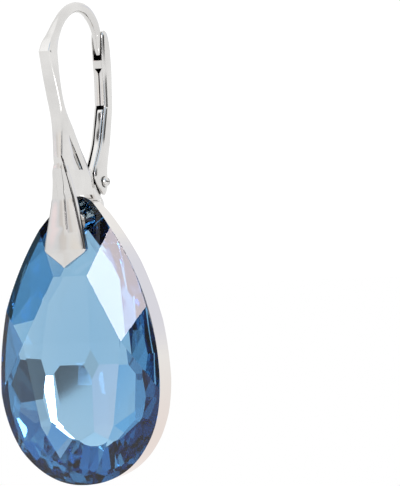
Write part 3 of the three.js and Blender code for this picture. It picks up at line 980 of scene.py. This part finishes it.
    def build(self, silver: bpy.types.Material, shade: bpy.types.Material) -> bpy.types.Object:
        """Makes the hook.

        Args:
            silver: its finish.
            shade: the near-black finish of its grooves, painted shade standing in for the darkness in them.

        Returns:
            The hook.
        """
        section = BarSection()
        hook = loft(self.wire_rings(section) + self.bar_rings(section), "silver_hook")
        hook.data.materials.append(silver)
        pocket_thickness, off_middle, lug_thickness = 0.34, 0.51, 0.5
        pocket = [self.at(*corner) for corner in ((-0.555, 0.735), (-0.375, 0.925), (-0.2, 0.925))]
        for side in (1, -1):
            tool = plate(pocket, pocket_thickness, "pocket", side * self.width * off_middle)
            combine(hook, tool, Change.CUT)
        for name, rings in (("prong", self.prong_rings()), ("root", self.root_rings(section)),
                            ("rear_leg", self.rear_leg_rings(section)), ("strip", self.strip_rings(section)),
                            ("tongue", self.tongue_rings(section))):
            combine(hook, loft(rings, name), Change.JOIN)
        combine(hook, plate(self.lug_outline(), lug_thickness, "lug"), Change.JOIN)
        combine(hook, hinge_bore(self.hinge_y, self.hinge_z), Change.CUT)
        # the flute and the fine lines take the near-black finish: painted shade in the grooves
        combine(hook, self.flute(), Change.CUT, shade)
        for side in (1, -1):
            combine(hook, self.pocket_line(side), Change.CUT, shade)
            combine(hook, self.prong_line(side), Change.CUT, shade)
        finish_metal(hook)
        place(hook, "ear_hook", Body.HOOK)
        return hook


@dataclass
class Lever:
    """The folded sheet lever and its rivet, in millimetres.

    The tables hold shares: a place's y of the lever's depth, from the wire's tip line, and its height
    above the hinge of the lever's length.
    """

    length: float = 11.2
    depth: float = 1.3
    width: float = 1.16
    sheet: float = 0.2
    slot: float = 0.66
    back: float = 3.3
    hinge_y: float = 2.2704
    hinge_z: float = -12.95

    def at(self, share: float, up: float) -> tuple[float, float]:
        """A point of the lever's plane, from shares of its depth and its length."""
        return self.back + share * self.depth, self.hinge_z + up * self.length

    def rings(self, section: BarSection) -> list[Ring]:
        """The outside of the lever, from the top to the ears.

        A row gives y and height of the front point and of the back point, the width and the roundness.

        Args:
            section: the section of its rings.

        Returns:
            The rings.
        """
        table = [
            (0.05, 1.005, 0.2, 1.012, 0.6, 0.6), (-0.15, 0.985, 0.42, 0.99, 0.92, 0.4),
            (-0.2, 0.93, 0.65, 0.922, 1.0, 0.3), (-0.18, 0.8, 0.83, 0.8, 1.0, 0.3),
            (-0.09, 0.7, 0.83, 0.7, 1.0, 0.3), (-0.08, 0.516, 0.75, 0.51, 1.0, 0.3),
            (-0.14, 0.485, 0.71, 0.475, 1.0, 0.25), (-0.5, 0.3375, 0.46, 0.345, 1.0, 0.2),
            (-0.746, 0.2527, 0.28, 0.262, 1.0, 0.15), (-1.19, 0.1607, 0.055, 0.17, 1.0, 0.15),
            (-1.53, 0.1027, -0.075, 0.107, 1.0, 0.15), (-1.7, 0.0375, -0.115, 0.05, 1.0, 0.15),
            (-1.485, -0.0098, -0.13, -0.01, 1.0, 0.15), (-1.2, -0.045, -0.42, -0.07, 0.98, 0.2),
            (-0.98, -0.075, -0.66, -0.09, 0.9, 0.3),
        ]
        return [section.ring(point(*self.at(f, fu)), point(*self.at(b, bu)), w * self.width, r)
                for f, fu, b, bu, w, r in smooth_rows(table, 4)]

    def hollows(self) -> list[bpy.types.Object]:
        """The tools that hollow the lever out.

        Returns:
            The trough's tool, then those of the funnel, the trough's base, the slot and the seam.
        """
        inner = self.width - 2 * self.sheet
        wall = self.sheet / self.depth
        trough = [(-0.6, 0.85), (0.77 - wall, 0.85), (0.68 - wall, 0.92), (0.42 - wall, 1.03), (-0.6, 1.03)]
        base = [(-0.6, 0.808), (0.83 - wall, 0.808), (0.77 - wall, 0.855), (-0.6, 0.855)]
        slot = [(-2.4, -0.14), (0.2, -0.14), (-0.13 - wall, -0.02), (-0.115 - wall, 0.055),
                (-0.075 - wall, 0.107), (0.155 - wall, 0.205), (0.515 - wall, 0.37),
                (0.66 - wall, 0.46), (0.66 - wall, 0.508), (-1.4, 0.508)]
        seam = [(-0.3, 0.5), (-0.05, 0.5), (-0.05, 0.73), (-0.3, 0.73)]
        base_width, seam_width = inner * 0.9, 0.1
        parts = [(base, base_width, "base"), (slot, self.slot, "slot"), (seam, seam_width, "seam")]
        tools = [plate([self.at(*corner) for corner in corners], width, name)
                 for corners, width, name in parts]
        half, top, tip = 0.3, 0.755, 0.715
        funnel = []
        for share in (-0.6, 0.5):
            y, high = self.at(share, top)
            low = self.at(share, tip)[1]
            funnel.append([Vector((-half, y, high)), Vector((0.0, y, low)), Vector((half, y, high))])
        bright = plate([self.at(*corner) for corner in trough], inner, "trough")
        return [bright, loft(funnel, "funnel")] + tools

    def build(self, silver: bpy.types.Material, shade: bpy.types.Material) -> bpy.types.Object:
        """Makes the lever.

        Args:
            silver: its finish.
            shade: the near-black finish of its hollows, painted shade standing in for the darkness inside
                them.

        Returns:
            The lever.
        """
        lever = loft(self.rings(BarSection()), "silver_lever")
        lever.data.materials.append(silver)
        # the funnel, the trough's base, the slot and the seam take the near-black finish: painted shade; the
        # trough stays silver
        trough, *dark = self.hollows()
        combine(lever, trough, Change.CUT)
        for tool in dark:
            combine(lever, tool, Change.CUT, shade)
        combine(lever, hinge_bore(self.hinge_y, self.hinge_z), Change.CUT)
        finish_metal(lever, 0.03)
        place(lever, "lever", Body.LEVER)
        return lever

    def build_rivet(self, silver: bpy.types.Material, shade: bpy.types.Material) -> bpy.types.Object:
        """Makes the rivet, a shaft with a domed head on each side.

        Args:
            silver: its finish.
            shade: the near-black finish of the dents in its heads, painted shade.

        Returns:
            The rivet.
        """
        seat, head, shaft, dome, sides, steps = self.width / 2 + 0.05, 0.38, 0.24, 0.36, 40, 8
        right = [(seat, shaft), (seat, head)]
        for i in range(1, steps + 1):
            angle = math.pi / 2 * i / steps
            right.append((seat + dome * math.sin(angle), max(head * math.cos(angle), 0.02)))
        profile = [(-x, r) for x, r in reversed(right)] + right
        rings = [[Vector((x, self.hinge_y + r * math.cos(2 * math.pi * s / sides),
                          self.hinge_z + r * math.sin(2 * math.pi * s / sides))) for s in range(sides)]
                 for x, r in profile]
        rivet = loft(rings, "lever_rivet")
        rivet.data.materials.append(silver)
        fine, long, thickness = 0.03, 0.3, 0.2
        # the dents take the near-black finish: painted shade in them
        for side in (1, -1):
            for y, z in ((fine, long), (long, fine)):
                corners = [(self.hinge_y + a * y, self.hinge_z + b * z)
                           for a, b in ((-1, -1), (1, -1), (1, 1), (-1, 1))]
                combine(rivet, plate(corners, thickness, "dent", side * (seat + dome)), Change.CUT, shade)
        finish_metal(rivet, 0.02)
        place(rivet, "hinge_rivet", Body.LEVER)
        return rivet


@dataclass(frozen=True)
class Patch:
    """A round patch of the tent, where the light is brighter, darker or tinted.

    The azimuth counts from the crystal's face, the elevation from the horizon, and the width is the
    half-angle of the patch, with the fade outside it. All are in degrees.
    """

    azimuth: float
    elevation: float
    width: float
    fade: float
    change: tuple[float, float, float]

    def centre(self) -> Vector:
        """The way from the earring to the middle of the patch."""
        turn, lift = math.radians(self.azimuth), math.radians(self.elevation)
        return Vector((math.sin(turn) * math.cos(lift), -math.cos(turn) * math.cos(lift), math.sin(lift)))


def even(change: float) -> tuple[float, float, float]:
    """The same change of all three colours."""
    return change, change, change


def facet_patches() -> list[Patch]:
    """The patches that light the crystal's facets.

    Returns:
        The patches.
    """
    return [
        Patch(4.0, 19.5, 9.0, 2.0, (10.8, 9.7, 10.4)),  # the white kite beside the prong
        Patch(72.0, 8.0, 16.0, 8.0, even(-0.93)),  # the dark facet at the left
        Patch(26.0, 0.0, 8.0, 6.0, (-0.66, -0.62, -0.56)),  # the border at the right
        Patch(-60.0, 16.0, 4.5, 2.5, (-0.6, -0.25, 0.0)),  # a blue facet at the lower right
        Patch(42.0, 33.0, 11.0, 3.0, (-0.6, -0.46, -0.3)),  # the facets at the lower left
        Patch(38.0, 60.0, 11.0, 3.0, (-0.62, -0.38, -0.12)),  # the facets at the bottom
        Patch(-44.0, 11.0, 3.0, 8.0, (0.35, 0.12, 0.1)),  # the lilac facet right of the middle
        Patch(-14.05, 11.65, 1.4, 0.1, even(-0.85)),  # the dark mark in the middle
        Patch(-26.0, 25.0, 8.0, 2.0, even(-0.9)),  # the facets on both sides of the prong
        Patch(206.0, 0.0, 7.0, 4.0, even(0.08)),  # the upper left border, a little
    ]


def metal_patches() -> list[Patch]:
    """The patches that shade the metal and the rim.

    Returns:
        The patches.
    """
    return [
        Patch(-55.0, 62.0, 20.0, 12.0, even(0.22)),  # the bar and the lever, from above
        Patch(-42.0, 0.0, 7.0, 8.0, (-0.08, -0.06, -0.03)),  # the left half of the prong
        Patch(-28.0, 4.0, 4.0, 3.0, (-0.12, -0.17, -0.21)),  # the same half, nearer the ridge
        Patch(-12.0, -4.0, 5.0, 6.0, (0.04, -0.02, -0.09)),  # the right half of the prong
        Patch(1.0, 1.0, 5.0, 1.5, even(-0.9)),  # fine lines along the prong
        Patch(170.0, 12.0, 4.0, 8.0, (-0.15, -0.13, -0.03)),  # the upper part of the rim
    ]


@dataclass
class Studio:
    """The pale stage, the lights and the camera, in millimetres."""

    azimuth: float = 26.0
    roll: float = 2.3
    pixels_high: float = 486.0
    pixels_per_mm: float = 13.58
    distance: float = 400.0
    sensor: float = 36.0
    aim: tuple[float, float, float] = (0.0, -1.83, -17.78)
    sideways: float = 9.22
    floor_z: float = -45.0
    floor_half: float = 3000.0
    level: float = 1.0
    bounces: int = 40
    glint_way: tuple[float, float, float] = (0.745, -0.487, -0.46)
    glint_aim: tuple[float, float, float] = (0.0, -4.8, -6.0)
    glint_distance: float = 60.0
    glint_size: float = 7.0
    glint_power: float = 0.0006

    def camera(self) -> None:
        """Sets the camera at the photograph's angle."""
        turn, lean = math.radians(self.azimuth), math.radians(self.roll)
        across = Vector((math.cos(turn), math.sin(turn), 0))
        toward = Vector((math.sin(turn), -math.cos(turn), 0))
        up = Vector((0, 0, 1))
        right = across * math.cos(lean) - up * math.sin(lean)
        top = across * math.sin(lean) + up * math.cos(lean)
        data = bpy.data.cameras.new("camera")
        data.lens = self.sensor * self.distance / (self.pixels_high / self.pixels_per_mm)
        data.clip_start = 0.01
        data.clip_end = 20
        camera = bpy.data.objects.new("camera", data)
        spot = (Vector(self.aim) + across * self.sideways + toward * self.distance) * MM
        camera.matrix_world = Matrix.Translation(spot) @ Matrix((right, top, toward)).transposed().to_4x4()
        bpy.context.scene.collection.objects.link(camera)
        bpy.context.scene.camera = camera

    def glint(self) -> None:
        """Adds the small soft lamp that gives the highlight on the bar."""
        way = Vector(self.glint_way).normalized()
        data = bpy.data.lights.new("glint", "AREA")
        data.shape = "RECTANGLE"
        data.size = data.size_y = self.glint_size * MM
        data.energy = self.glint_power
        lamp = bpy.data.objects.new("glint", data)
        lamp.visible_camera = False
        lamp.location = (Vector(self.glint_aim) + way * self.glint_distance) * MM
        lamp.rotation_euler = (-way).to_track_quat("-Z", "Y").to_euler()
        bpy.context.scene.collection.objects.link(lamp)

    def tent(self, shader: Shader, way: Wire) -> Wire:
        """The tent's light by direction: white, with its patches.

        Args:
            shader: the world's shader.
            way: the direction looked at.

        Returns:
            The colour of the light.
        """
        light = (self.level, self.level, self.level)
        for patch in facet_patches() + metal_patches():
            near = shader.add("ShaderNodeVectorMath", {"operation": "DOT_PRODUCT"},
                              {0: way, 1: tuple(patch.centre())}, "Value")
            edge = shader.add("ShaderNodeMapRange", {"interpolation_type": "SMOOTHSTEP"}, {
                "Value": near, "From Min": math.cos(math.radians(patch.width + patch.fade)),
                "From Max": math.cos(math.radians(patch.width)), "To Min": 0.0, "To Max": 1.0,
            })
            tint = shader.add("ShaderNodeVectorMath", {"operation": "SCALE"},
                              {0: patch.change, "Scale": edge})
            light = shader.add("ShaderNodeVectorMath", {"operation": "ADD"}, {0: light, 1: tint})
        return light

    def build(self) -> None:
        """Makes the stage, the lights and the camera."""
        self.camera()
        self.glint()
        mesh = bmesh.new()
        bmesh.ops.create_grid(mesh, x_segments=1, y_segments=1, size=self.floor_half * MM)
        floor = to_object(mesh, "floor")
        floor.location = (0, 0, self.floor_z * MM)
        floor.data.materials.append(PaleCard().make())
        world = bpy.data.worlds.new("studio")
        bpy.context.scene.world = world
        world.use_nodes = True
        shader = Shader(world.node_tree)
        way = shader.add("ShaderNodeTexCoord", output="Generated")
        light = self.tent(shader, way)
        sky = shader.add("ShaderNodeBackground", None, {"Color": light, "Strength": 1.0})
        shader.add("ShaderNodeOutputWorld", None, {"Surface": sky})
        cycles = bpy.context.scene.cycles
        cycles.max_bounces = cycles.glossy_bounces = cycles.transmission_bounces = self.bounces
        bpy.context.scene.view_settings.view_transform = "Standard"


def main(frame: dict) -> None:
    """Builds the earring and its studio.

    Args:
        frame: the loaded frame.
    """
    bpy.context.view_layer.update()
    silver = PolishedSilver().make()
    Studio().build()
    # a near-black silver for the grooves, hollows and dents: painted shade standing in for the darkness
    # inside them
    shade = PolishedSilver("painted_shade_silver", colour=(0.05, 0.045, 0.045, 1.0), roughness=0.35).make()
    EarHook().build(silver, shade)
    lever = Lever()
    lever.build(silver, shade)
    lever.build_rivet(silver, shade)
    rim = MirrorCoat("rim_coat", colour=(0.77, 0.74, 0.71, 1.0), low_colour=(0.74, 0.6, 0.54, 1.0))
    Crystal().build(SapphireGlass().make(), MirrorCoat().make(), rim.make())
    pin = frame["nodes"]["bail_pin"]
    pin.data.materials.clear()
    pin.data.materials.append(silver)


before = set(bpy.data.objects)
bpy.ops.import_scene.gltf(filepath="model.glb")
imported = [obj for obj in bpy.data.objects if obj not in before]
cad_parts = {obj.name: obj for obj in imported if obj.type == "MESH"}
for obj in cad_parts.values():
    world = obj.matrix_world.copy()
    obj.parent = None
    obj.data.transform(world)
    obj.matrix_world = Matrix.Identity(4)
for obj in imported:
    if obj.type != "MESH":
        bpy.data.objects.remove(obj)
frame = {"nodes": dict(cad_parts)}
if __name__ == "__main__":
    logging.basicConfig(level=logging.INFO)
    main(frame)
